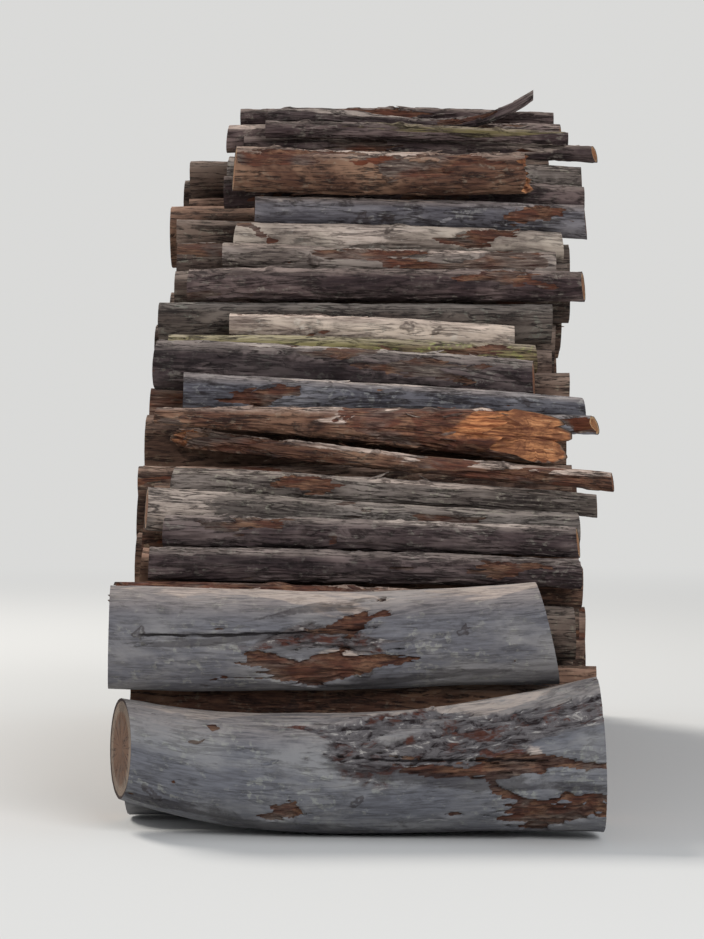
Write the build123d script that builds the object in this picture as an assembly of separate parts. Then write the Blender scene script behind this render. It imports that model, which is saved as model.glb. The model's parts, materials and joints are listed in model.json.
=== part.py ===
from build123d import *
import math
import os
import random

import numpy as np

# A free-standing stack of two-metre hardwood logs. Every log lies about along X. The front
# (-Y) rises over two big logs and a long slope, and the crest and a steeper far slope close it.
# All sizes are in millimetres and degrees.

# Whole stack
STACK_HEIGHT = 3200.0
FRONT_SLOPE = 35.0
BACK_SLOPE = 50.0
CREST_DEPTH = 420.0
SLOPE_FOOT_DEPTH = 330.0
SLOPE_FOOT_HEIGHT = 1130.0

# Stock logs, of which the body of the stack is made
LOG_LENGTH = 1930.0
LENGTH_SPREAD = 60.0
END_STAGGER = 45.0
LOG_DIAMETER = 285.0
DIAMETER_SPREAD = 55.0
THINNEST_LOG = 165.0
THICKEST_LOG = 400.0
FILLER_DIAMETERS = (285.0, 225.0, 180.0)
TAPER = 24.0
SKEW = 12.0

# The two big logs at the foot: their radii in shares of the height that they carry the slope to
FOOT_LOG_SHARES = ((0.190, 0.221, 0.237, 0.292), (0.200, 0.195, 0.189, 0.205))
FOOT_LOG_DEPTH = 0.0
FOOT_LOG_SKEW = 150.0
GROUND_YAW = 60.0
WEDGE_ROLL = 60.0
UPPER_LOG_AHEAD = 50.0
UPPER_LOG_SKEW = 40.0
UPPER_LOG_ROLL = 170.0

# Logs that cover the slopes and the crest
COVER_DEPTH = 190.0
BACK_COVER_DIAMETER = 235.0
BACK_COVER_SPREAD = 40.0

BACK_COVER_OVER = 40.0
BACK_COVER_ADVANCE = 0.9
BACK_COVER_SPACING = 0.5

# Ends that aren't sawn square: how much more the left end's front is cut back than its rear and its
# top than its foot, then the same for the right end
END_CUTS = {
    "big_scarred_log": ((120.0, 20.0), (-15.0, 25.0)),
    "big_upper_log": ((35.0, 10.0), (-20.0, 100.0)),
    "brown_thin_log": ((70.0, 20.0), (10.0, 15.0)),
    "dark_log_low": ((12.0, 8.0), (-20.0, 10.0)),
    "dark_log_upper": ((-15.0, 10.0), (18.0, 14.0)),
    "grey_end_log": ((30.0, 12.0), (-12.0, 6.0)),
    "blunt_grey_log": ((-14.0, 20.0), (10.0, 4.0)),
    "diagonal_log": ((60.0, 40.0), (14.0, 10.0)),
    "broken_end_log": ((-10.0, 15.0), (330.0, 40.0)),
    "pink_end_log": ((-8.0, 12.0), (40.0, 25.0)),
    "bluish_log": ((16.0, 6.0), (-10.0, 12.0)),
    "long_dark_log": ((-25.0, 15.0), (20.0, 8.0)),
    "mossy_log": ((10.0, 12.0), (-16.0, 8.0)),
    "wide_slope_log": ((-12.0, 6.0), (24.0, 12.0)),
    "whitish_log": ((-22.0, 18.0), (-8.0, 14.0)),
    "bluish_upper_log": ((12.0, 5.0), (15.0, 16.0)),
    "knotty_upper_log": ((-18.0, 10.0), (12.0, 6.0)),
    "red_patched_log": ((25.0, 20.0), (45.0, 30.0)),
    "stub_end_log": ((8.0, 8.0), (30.0, 18.0)),
    "crest_log_front": ((-10.0, 14.0), (16.0, 6.0)),
}

# Hollows torn out of the big logs: where each lies along its log (-1 to 1) and round it (0 in front,
# 90 on top), its length, its width, its depth and how far it turns down to the right
HOLLOWS = {
    "big_scarred_log": ((0.18, 24.0, 640.0, 180.0, 34.0, 12.0), (0.36, 72.0, 560.0, 190.0, 28.0, -4.0)),
    "big_upper_log": ((0.02, -16.0, 520.0, 120.0, 34.0, -3.0), (0.10, 40.0, 640.0, 90.0, 26.0, 4.0)),
}

# Seating
SEAT_GAP = 0.3
STATIONS = 33
FRONT_STATIONS = 97
CLEAR_IN_NODE = 6.0
LEVEL_WITHIN = 45.0
SQUARE_WITHIN = 0.05
FIRST_STEP = 32.0
LAST_STEP = 0.05
FREE_TURN = 60.0
FRONT_ROLL = 75.0
BODY_ROLL = 90.0
BACK_ROLL = 60.0
YAW_KEPT = 0.72
FILL_STEP = 12.0
BACK_TRIES = 60
BANDS = 5
BAND_NODES = "abcd"
SEED = 7

source = random.Random(SEED)


class Log:
    """A round log about along X: its axis and radius are cubics through four sections."""

    SHARES = np.array([-1.0, -1.0 / 3.0, 1.0 / 3.0, 1.0])

    def __init__(self, name, length, x_middle, radii, sweep=(0.0, 0.0), crook=(0.0, 0.0)):
        self.name = name
        self.x_left = x_middle - length / 2
        self.x_right = x_middle + length / 2
        if len(radii) == 2:
            radii = np.interp(self.SHARES, [-1.0, 1.0], radii)
        bow = 1.0 - self.SHARES**2
        wave = self.SHARES * bow
        self.radii = np.array(radii, float)
        self.bend_y = sweep[0] * bow + crook[0] * wave
        self.bend_z = sweep[1] * bow + crook[1] * wave
        self.y_ends = (0.0, 0.0)
        self.z_ends = (0.0, 0.0)

    @property
    def is_cone(self):
        """A straight log that lies nearly square: a plain tapered bar."""
        bent = np.any(self.bend_y) or np.any(self.bend_z)
        swollen = not np.allclose(np.diff(self.radii, 2), 0.0, atol=1e-6)
        lean = math.hypot(self.y_ends[1] - self.y_ends[0], self.z_ends[1] - self.z_ends[0])
        return not bent and not swollen and lean < SQUARE_WITHIN * (self.x_right - self.x_left)

    def share(self, x):
        return (2 * x - self.x_left - self.x_right) / (self.x_right - self.x_left)

    def cubic(self, values, x):
        """The cubic through the values at the four sections, at x."""
        return np.polyval(np.polyfit(self.SHARES, values, 3), self.share(x))

    def radius(self, x):
        return self.cubic(self.radii, x)

    def y(self, x):
        return self.cubic(self.bend_y, x) + between(self.y_ends, self.share(x))

    def z(self, x):
        return self.cubic(self.bend_z, x) + between(self.z_ends, self.share(x))

    def middle(self):
        return (self.y_ends[0] + self.y_ends[1]) / 2, (self.z_ends[0] + self.z_ends[1]) / 2

    def solid(self):
        """The log's solid, in its place."""
        if self.is_cone:
            start = Vector(self.x_left, self.y_ends[0], self.z_ends[0])
            run = Vector(self.x_right, self.y_ends[1], self.z_ends[1]) - start
            axis = Plane(origin=start, x_dir=Vector(0, 1, 0), z_dir=run)
            return Solid.make_cone(self.radii[0], self.radii[-1], run.length, axis)
        sections = []
        for share in self.SHARES:
            x = self.x_left + (share + 1) / 2 * (self.x_right - self.x_left)
            at = Plane(origin=(x, float(self.y(x)), float(self.z(x))), x_dir=(0, 1, 0), z_dir=(1, 0, 0))
            sections.append(Wire.make_circle(float(self.radius(x)), at))
        return Solid.make_loft(sections, False)


def between(ends, share):
    return ends[0] * (1 - share) / 2 + ends[1] * (1 + share) / 2


def cut_end(solid, log, side, front, top):
    """Cuts an end slantwise: the left one with side -1, the right one with side 1.

    Its front is cut back by front more than its rear, and its top by top more than its foot.
    """
    x = (log.x_left, log.x_right)[side > 0]
    across = 2 * (log.radii[0], log.radii[-1])[side > 0]
    middle = Vector(x - side * math.hypot(front, top) / 2, float(log.y(x)), float(log.z(x)))
    slant = Plane(origin=middle, z_dir=Vector(side, -front / across, top / across))
    return solid.split(slant, keep=Keep.BOTTOM)


def hollow(log, share, angle, length, width, depth, turn):
    """The spindle that is taken out of a log for a hollow that runs out at both its ends."""
    round_off = (depth**2 + (width / 2) ** 2) / (2 * depth)
    arc = (depth**2 + (length / 2) ** 2) / (2 * depth)
    tip = math.sqrt(arc**2 - (arc - round_off) ** 2)
    edge = Edge.make_three_point_arc(Vector(-tip, 0, 0), Vector(0, round_off, 0), Vector(tip, 0, 0))
    profile = Face(Wire([edge, Edge.make_line(Vector(tip, 0, 0), Vector(-tip, 0, 0))]))
    spindle = Solid.revolve(profile, 360, Axis.X)
    x = log.x_left + (share + 1) / 2 * (log.x_right - log.x_left)
    out = Vector(0, -math.cos(math.radians(angle)), math.sin(math.radians(angle)))
    along = Vector(1, 0, 0).rotate(Axis((0, 0, 0), out), turn)
    axis = Vector(x, float(log.y(x)), float(log.z(x)))
    middle = axis + out * (float(log.radius(x)) + round_off - depth)
    return Location(Plane(origin=middle, x_dir=along, z_dir=out)) * spindle


def finished(log):
    """The log's solid with its ends cut and its hollows taken out."""
    solid = log.solid()
    for side, cut in zip((-1, 1), END_CUTS.get(log.name, ())):
        solid = cut_end(solid, log, side, *cut)
    for place in HOLLOWS.get(log.name, ()):
        solid = solid.cut(hollow(log, *place))
    return solid


def line_on(shares, floor):
    """The lowest straight line over each row of floor: its two ends and its middle.

    It touches the floor once on each side of the middle, as a log does that lies on two others.
    Where the middle alone carries it, it is as level as the rest of the floor lets it be.
    """
    half = len(shares) // 2
    t_left, t_right = shares[:half], shares[half + 1 :]
    f_left, f_right = floor[:, :half], floor[:, half + 1 :]
    span = t_right[None, :] - t_left[:, None]
    chords = (f_left[:, :, None] * t_right[None, :] - f_right[:, None, :] * t_left[:, None]) / span
    middle = np.maximum(chords.reshape(len(floor), -1).max(axis=1), floor[:, half])
    least = ((f_right - middle[:, None]) / t_right).max(axis=1)
    most = ((f_left - middle[:, None]) / t_left).min(axis=1)
    slope = np.minimum(np.maximum(least, 0.0), np.maximum(most, least))
    return middle - slope, middle + slope, middle


class Bed:
    """What a new log can lie on: the logs near it, measured once at the stations along it."""

    def __init__(self, log, logs, stations=STATIONS):
        self.shares = np.linspace(-1.0, 1.0, stations)
        x = log.x_left + (self.shares + 1) / 2 * (log.x_right - log.x_left)
        self.radius = log.radius(x)
        self.bend_y = log.cubic(log.bend_y, x)
        self.bend_z = log.cubic(log.bend_z, x)
        step = x[1] - x[0]
        self.empty = not logs
        if logs:
            self.covered = np.array([(x > o.x_left - step) & (x < o.x_right + step) for o in logs])
            self.reach = np.array([o.radius(x) for o in logs]) + self.radius + SEAT_GAP
            self.other_y = np.array([o.y(x) for o in logs])
            self.other_z = np.array([o.z(x) for o in logs])

    def rest(self, y_left, y_right):
        """Ends and middle height of the log lowered at these depths, which may be arrays."""
        y_left = np.atleast_1d(y_left)[:, None]
        y_right = np.atleast_1d(y_right)[:, None]
        y = self.bend_y + between((y_left, y_right), self.shares)
        floor = np.broadcast_to(self.radius, y.shape)
        if not self.empty:
            over = self.reach[None] ** 2 - (y[:, None] - self.other_y[None]) ** 2
            height = self.other_z[None] + np.sqrt(np.maximum(over, 0.0))
            height = np.where(self.covered[None] & (over > 0), height, 0.0)
            floor = np.maximum(floor, height.max(axis=1))
        return line_on(self.shares, floor - self.bend_z)

    def effort(self, y_left, y_right, rise=0.0):
        """Middle height of the log there, and more where it would lie far from level."""
        z_left, z_right, middle = self.rest(y_left, y_right)
        return middle + np.maximum(np.abs(z_right - z_left - rise) - LEVEL_WITHIN, 0.0)

    def slide(self, z_left, z_right, yaw):
        """The depths of the log's ends when it is slid forwards at this height against the others."""
        z = self.bend_z + between((z_left, z_right), self.shares)
        over = self.reach**2 - (z - self.other_z) ** 2
        depth = self.other_y + np.sqrt(np.maximum(over, 0.0))
        depth = np.where(self.covered & (over > 0), depth, -1e6).max(axis=0)
        middle = np.max(depth - self.bend_y - between((-yaw / 2, yaw / 2), self.shares))
        return middle - yaw / 2, middle + yaw / 2


class Pile:
    """The logs that lie already."""

    def __init__(self):
        self.logs = []

    def near(self, low, high):
        far = THICKEST_LOG
        return [o for o in self.logs if min(o.y_ends) - far < high and max(o.y_ends) + far > low]

    def lay(self, log, bed, y_left, y_right):
        z_left, z_right, _ = bed.rest(y_left, y_right)
        log.y_ends = (float(y_left), float(y_right))
        log.z_ends = (float(z_left[0]), float(z_right[0]))
        self.logs.append(log)

    def roll(self, log, y_left, y_right, travel, skew_travel=FREE_TURN, rise=0.0, stations=STATIONS):
        """Lets the log roll down into the nearest hollow and lays it there.

        It stays about level, or with its right end higher than its left end by rise.
        """
        start = np.array([y_left, y_right], float)
        bed = Bed(log, self.near(start.min() - travel, start.max() + travel), stations)
        moves = np.array([[1, 1], [-1, -1], [1, 0], [-1, 0], [0, 1], [0, -1], [1, -1], [-1, 1]])
        at, step = start.copy(), FIRST_STEP
        height = bed.effort(*at, rise)[0]
        while step > LAST_STEP:
            tries = at + step * moves
            moved = np.abs(tries - start)
            turned = np.abs((tries[:, 1] - tries[:, 0]) - (start[1] - start[0]))
            heights = bed.effort(tries[:, 0], tries[:, 1], rise)
            heights = np.where((moved.max(axis=1) > travel) | (turned > skew_travel), np.inf, heights)
            best = int(np.argmin(heights))
            if heights[best] < height - 1e-5:
                at, height = tries[best], heights[best]
            else:
                step /= 2
        self.lay(log, bed, at[0], at[1])

    def push(self, log, yaw):
        """Lays the log on the ground behind the last one and slides it forwards to meet it."""
        alone = Bed(log, [])
        z_left, z_right, _ = alone.rest(0.0, 0.0)
        bed = Bed(log, self.logs)
        y_left, y_right = bed.slide(z_left[0], z_right[0], yaw)
        log.y_ends = (float(y_left), float(y_right))
        log.z_ends = (float(z_left[0]), float(z_right[0]))
        self.logs.append(log)


def stock_log(diameter=LOG_DIAMETER, spread=DIAMETER_SPREAD):
    """A log of the common stock, with its own length, thickness and taper."""
    size = min(max(source.gauss(diameter, spread), THINNEST_LOG), THICKEST_LOG)
    taper = source.uniform(-TAPER, TAPER)
    radii = (size / 2 - taper / 2, size / 2 + taper / 2)
    length = LOG_LENGTH + source.uniform(-LENGTH_SPREAD, LENGTH_SPREAD)
    return Log(None, length, source.uniform(-END_STAGGER, END_STAGGER), radii)


# Where the slopes run
FRONT_RISE = math.tan(math.radians(FRONT_SLOPE))
BACK_RISE = math.tan(math.radians(BACK_SLOPE))
CREST_FRONT = SLOPE_FOOT_DEPTH + (STACK_HEIGHT - SLOPE_FOOT_HEIGHT) / FRONT_RISE
CREST_BACK = CREST_FRONT + CREST_DEPTH
FAR_FOOT = CREST_BACK + STACK_HEIGHT / BACK_RISE
FOOT_LOG_RADII = [tuple(share * SLOPE_FOOT_HEIGHT for share in shares) for shares in FOOT_LOG_SHARES]


def named_log(name, ends, radii, sweep=(0.0, 0.0), crook=(0.0, 0.0)):
    """A log with a node of its own; its ends are in shares of LOG_LENGTH from the stack's middle."""
    left, right = ends
    return Log(name, (right - left) * LOG_LENGTH, (left + right) / 2 * LOG_LENGTH, radii, sweep, crook)


def surface(y):
    """Height of the stack's outer surface at a depth."""
    front = SLOPE_FOOT_HEIGHT + (y - SLOPE_FOOT_DEPTH) * FRONT_RISE
    back = (FAR_FOOT - y) * BACK_RISE
    return np.minimum(np.minimum(front, back), STACK_HEIGHT)


def body_surface(y):
    """Height that the body of the stack may reach, under the logs that cover it."""
    front = SLOPE_FOOT_HEIGHT + (y - SLOPE_FOOT_DEPTH) * FRONT_RISE
    back = (FAR_FOOT - y) * BACK_RISE
    front_cover = COVER_DEPTH / math.cos(math.radians(FRONT_SLOPE))
    back_cover = BACK_COVER_DIAMETER / math.cos(math.radians(BACK_SLOPE))
    return np.minimum(np.minimum(front - front_cover, back - back_cover), STACK_HEIGHT - COVER_DEPTH)


pile = Pile()

# The big logs at the foot of the front, and the ground course behind them
big_lower = named_log(
    "big_scarred_log", (-0.537, 0.523), FOOT_LOG_RADII[0], sweep=(-28, -96), crook=(10, 40)
)
pile.lay(big_lower, Bed(big_lower, []), FOOT_LOG_DEPTH + FOOT_LOG_SKEW, FOOT_LOG_DEPTH)
pile.push(named_log("second_ground_log", (-0.509, 0.519), (244, 258)), -GROUND_YAW)
yaw = -GROUND_YAW
while pile.logs[-1].middle()[0] < FAR_FOOT - LOG_DIAMETER:
    yaw *= YAW_KEPT
    pile.push(stock_log(), yaw)

pile.roll(named_log("wedge_log", (-0.49, 0.458), (96, 88)), SLOPE_FOOT_DEPTH, SLOPE_FOOT_DEPTH, WEDGE_ROLL)
big_upper = named_log("big_upper_log", (-0.539, 0.435), FOOT_LOG_RADII[1], sweep=(14, -26))
at = SLOPE_FOOT_DEPTH - UPPER_LOG_AHEAD
pile.roll(big_upper, at + UPPER_LOG_SKEW / 2, at - UPPER_LOG_SKEW / 2, UPPER_LOG_ROLL)

# The body of the stack: each log goes into the lowest hollow there is
depths = np.arange(SLOPE_FOOT_DEPTH, FAR_FOOT, FILL_STEP)
for diameter in FILLER_DIAMETERS:
    while True:
        log = stock_log(diameter)
        bed = Bed(log, pile.logs)
        heights = bed.effort(depths, depths)
        room = heights + max(log.radii) <= body_surface(depths)
        if not room.any():
            break
        best = int(np.argmin(np.where(room, heights, np.inf)))
        skew = source.uniform(-SKEW, SKEW)
        pile.roll(log, depths[best] - skew, depths[best] + skew, travel=BODY_ROLL, skew_travel=SKEW)

# The logs of the front slope and of the crest. Each has its two ends in shares of LOG_LENGTH from
# the stack's middle, its radii and how far up the slope it lies: 0 at the foot, 1 at the crest
def front_log(name, ends, radii, up_slope, skew=0.0, rise=0.0, sweep=(0.0, 0.0), crook=(0.0, 0.0)):
    """A front log, rolled to its place. Its left end lies behind its right end by skew."""
    log = named_log(name, ends, radii, sweep, crook)
    depth = SLOPE_FOOT_DEPTH + up_slope * (CREST_FRONT - SLOPE_FOOT_DEPTH)
    pile.roll(log, depth + skew / 2, depth - skew / 2, FRONT_ROLL, rise=rise, stations=FRONT_STATIONS)


front_log("brown_thin_log", (-0.55, 0.29), (66, 52), 0.020, sweep=(10, 14))
front_log("dark_log_low", (-0.464, 0.495), (84, 74), 0.056, skew=-30, sweep=(12, 6))
front_log("dark_log_upper", (-0.433, 0.495), (84, 76), 0.103, skew=40, sweep=(-10, 10))
front_log("grey_end_log", (-0.487, 0.497), (106, 80), 0.151, skew=20, rise=-40, sweep=(8, -12))
front_log("blunt_grey_log", (-0.43, 0.544), (80, 62), 0.195, skew=-20, rise=-60, sweep=(0, 12))
front_log("diagonal_log", (-0.452, 0.574), (56, 54), 0.228, skew=560, rise=-330, sweep=(0, -10))
front_log("broken_end_log", (-0.479, 0.5), (50, 74, 108, 136), 0.27, skew=80, rise=60, sweep=(14, 10))
front_log("pink_end_log", (-0.35, 0.562), (60, 56), 0.322, sweep=(-12, 8))
front_log("bluish_log", (-0.427, 0.531), (106, 60), 0.378, skew=30, rise=-60, sweep=(10, 10))
front_log("long_dark_log", (-0.5, 0.42), (128, 113), 0.471, skew=-20, rise=-40, sweep=(-10, 14))
front_log("slim_grey_log", (-0.46, 0.374), (61, 55), 0.521, sweep=(8, -10))
front_log("mossy_log", (-0.484, 0.427), (84, 78), 0.561, skew=60, sweep=(10, 10))
front_log("bright_topped_log", (-0.33, 0.374), (82, 76), 0.605, skew=-30, sweep=(-8, 12))
front_log("wide_slope_log", (-0.445, 0.56), (92, 86), 0.651, skew=20, rise=20, sweep=(14, 8))
front_log("narrow_slope_log", (-0.36, 0.487), (76, 71), 0.696, skew=-10, sweep=(-10, -8))
front_log("whitish_log", (-0.337, 0.51), (97, 76), 0.739, skew=30, sweep=(8, 12))
front_log("bluish_upper_log", (-0.29, 0.575), (88, 94), 0.786, skew=-20, rise=30, sweep=(12, 6))
front_log("dark_upper_log", (-0.37, 0.57), (92, 82), 0.836, skew=20, sweep=(-12, 10))
front_log("knotty_upper_log", (-0.366, 0.572), (80, 92), 0.884, skew=-30, sweep=(10, 12))
front_log("red_patched_log", (-0.345, 0.44), (124, 112), 0.808, skew=10, rise=20, sweep=(8, -10))
front_log("stub_end_log", (-0.324, 0.61), (64, 56), 0.90, skew=-20, sweep=(12, 14))
front_log("crest_log_front", (-0.37, 0.52), (84, 74), 0.898, skew=20, rise=30, sweep=(-14, 12))
front_log("crest_log_slim", (-0.335, 0.498), (58, 48), 0.93, skew=-20, rise=30, sweep=(10, 16))
front_log("crest_log_middle", (-0.26, 0.529), (56, 46), 0.864, skew=10, sweep=(12, 10))
front_log("crest_log_bent", (-0.256, 0.44), (50, 42), 0.886, skew=-20, rise=95, sweep=(10, -90), crook=(0, -110))

# The crest and the far slope, from its foot up
depth = FAR_FOOT - BACK_COVER_DIAMETER / 2
while depth > CREST_BACK:
    log = stock_log(BACK_COVER_DIAMETER, BACK_COVER_SPREAD)
    depth = depth - max(log.radii) * BACK_COVER_ADVANCE
    bed = Bed(log, pile.logs)
    tries = np.linspace(depth, depth - 2 * BACK_COVER_DIAMETER, BACK_TRIES)
    heights = bed.rest(tries, tries)[2] + max(log.radii)
    fits = heights <= surface(tries) + BACK_COVER_OVER
    if not fits.any():
        continue
    pile.roll(log, tries[np.argmax(fits)], tries[np.argmax(fits)], travel=BACK_ROLL)
    depth = log.middle()[0] - float(np.mean(log.radii)) * BACK_COVER_SPACING


def band_of(log):
    """The band of the stack's height in which a log lies, from 0 at the ground."""
    return min(int(BANDS * log.middle()[1] / STACK_HEIGHT), BANDS - 1)


def clearance(one, two):
    """The least distance between two logs' barks, measured across, less than nothing if they meet."""
    low, high = max(one.x_left, two.x_left), min(one.x_right, two.x_right)
    x = np.linspace(low, high, STATIONS)
    apart = np.hypot(one.y(x) - two.y(x), one.z(x) - two.z(x))
    return float(np.min(apart - one.radius(x) - two.radius(x)))


# Stock logs that don't touch share a node, with a few nodes for each band of the height
groups = {log.name: [log] for log in pile.logs if log.name}
for band in range(BANDS):
    in_band = [log for log in pile.logs if not log.name and band_of(log) == band]
    nodes = {letter: [] for letter in BAND_NODES}
    close = {id(o): sum(clearance(o, other) < CLEAR_IN_NODE for other in in_band) for o in in_band}
    for log in sorted(in_band, key=lambda o: -close[id(o)]):
        room = {
            letter: min([clearance(log, other) for other in members], default=THICKEST_LOG)
            for letter, members in nodes.items()
        }
        clear = [letter for letter in BAND_NODES if room[letter] > CLEAR_IN_NODE]
        if clear:
            letter = min(clear, key=lambda one: len(nodes[one]))
        else:
            letter = max(room, key=room.get)
        nodes[letter].append(log)
    for letter, members in nodes.items():
        if members:
            groups[f"stock_logs_{band + 1}{letter}"] = members

# The origin is the middle of the stack's footprint, on the ground
solids = {name: [finished(log) for log in logs] for name, logs in groups.items()}
box = Compound([solid for members in solids.values() for solid in members]).bounding_box()
home = Pos(-(box.min.X + box.max.X) / 2, -(box.min.Y + box.max.Y) / 2, -box.min.Z)

os.makedirs("parts", exist_ok=True)
for name, members in solids.items():
    moved = [home * solid for solid in members]
    export_step(moved[0] if len(moved) == 1 else Compound(moved), f"parts/{name}.step")
print(len(pile.logs), "logs in", len(groups), "nodes, box", box.size)
print(sum(not log.is_cone for log in pile.logs), "logs bent or far from square")
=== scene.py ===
import json
import math

import bpy
import numpy as np
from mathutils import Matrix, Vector
from mathutils.bvhtree import BVHTree


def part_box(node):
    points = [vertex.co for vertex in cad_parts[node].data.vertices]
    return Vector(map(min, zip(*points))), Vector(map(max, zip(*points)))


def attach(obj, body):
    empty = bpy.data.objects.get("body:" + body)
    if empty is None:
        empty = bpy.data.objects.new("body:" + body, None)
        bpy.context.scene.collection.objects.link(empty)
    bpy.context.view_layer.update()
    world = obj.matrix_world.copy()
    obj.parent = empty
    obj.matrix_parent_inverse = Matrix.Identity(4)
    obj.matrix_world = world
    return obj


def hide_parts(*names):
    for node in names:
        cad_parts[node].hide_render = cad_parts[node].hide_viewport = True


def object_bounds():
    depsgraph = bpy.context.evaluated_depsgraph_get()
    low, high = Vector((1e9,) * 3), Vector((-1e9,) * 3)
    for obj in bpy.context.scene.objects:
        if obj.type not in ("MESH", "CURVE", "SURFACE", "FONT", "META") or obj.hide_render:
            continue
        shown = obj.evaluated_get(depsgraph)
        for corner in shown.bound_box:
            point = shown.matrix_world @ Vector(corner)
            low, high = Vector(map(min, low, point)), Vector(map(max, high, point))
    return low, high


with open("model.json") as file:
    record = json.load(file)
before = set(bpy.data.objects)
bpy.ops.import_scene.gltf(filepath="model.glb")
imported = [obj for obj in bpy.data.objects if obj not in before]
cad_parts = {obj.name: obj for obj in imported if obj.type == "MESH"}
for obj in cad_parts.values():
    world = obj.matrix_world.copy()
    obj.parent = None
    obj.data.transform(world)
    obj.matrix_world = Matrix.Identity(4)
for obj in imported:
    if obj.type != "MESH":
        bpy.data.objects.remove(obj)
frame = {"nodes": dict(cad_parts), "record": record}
cad_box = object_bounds()

# The logs lie about along X. Each one is measured from its CAD mesh, and gets a skin of bark and
# two ends on a grid that follows it. All sizes are in metres.

# Faces along and round a log's skin
MAIN_GRID = (150, 216)
FRONT_GRID = (84, 80)
OUTER_GRID = (30, 48)
INNER_GRID = (6, 40)
MAIN_LOGS = ("big_scarred_log", "big_upper_log")

# The rings of a sawn end and of a broken one, as shares of its radius
END_RINGS = (0.955, 0.8, 0.55, 0.25, 0.0)
FRESH_RINGS = (0.97, 0.92, 0.86, 0.79, 0.71, 0.62, 0.53, 0.43, 0.32, 0.2, 0.1, 0.0)

# How far a stock log's ends are off square, in radians
END_TILT = 0.05

# Telling a log's end faces from its side: how squarely they look along it, twice their least area,
# and how far from its tip they may lie
END_FACING = 0.6
END_FACE_LEAST = 3e-6
END_REACH = 0.45

# Points this near each other are one point of a solid
WELD = 1e-5

# Measuring a log in slices, which keep off its ends, with a circle through each
SLICES = 15
CUT_IN = 3e-3
AXIS_DEGREE = 3
FIT_ROUNDS = 8
FIT_SLACK = 3e-3
LEAST_AREA = 1e-12
LEAST_SQUARE = 1e-9

# Rays that find the hollows: where they start, as a share of the radius, how much they are turned
# so that none runs along an edge, and how far they keep off the ends
RAY_START = 1.3
RAY_TURN = 1e-3
RAY_CUT_IN = CUT_IN / 3

# Finding the stock logs that nothing covers
SIGHT_LINES = 36
SIGHT_OFFSETS = (-0.85, 0.0, 0.85)

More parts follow.
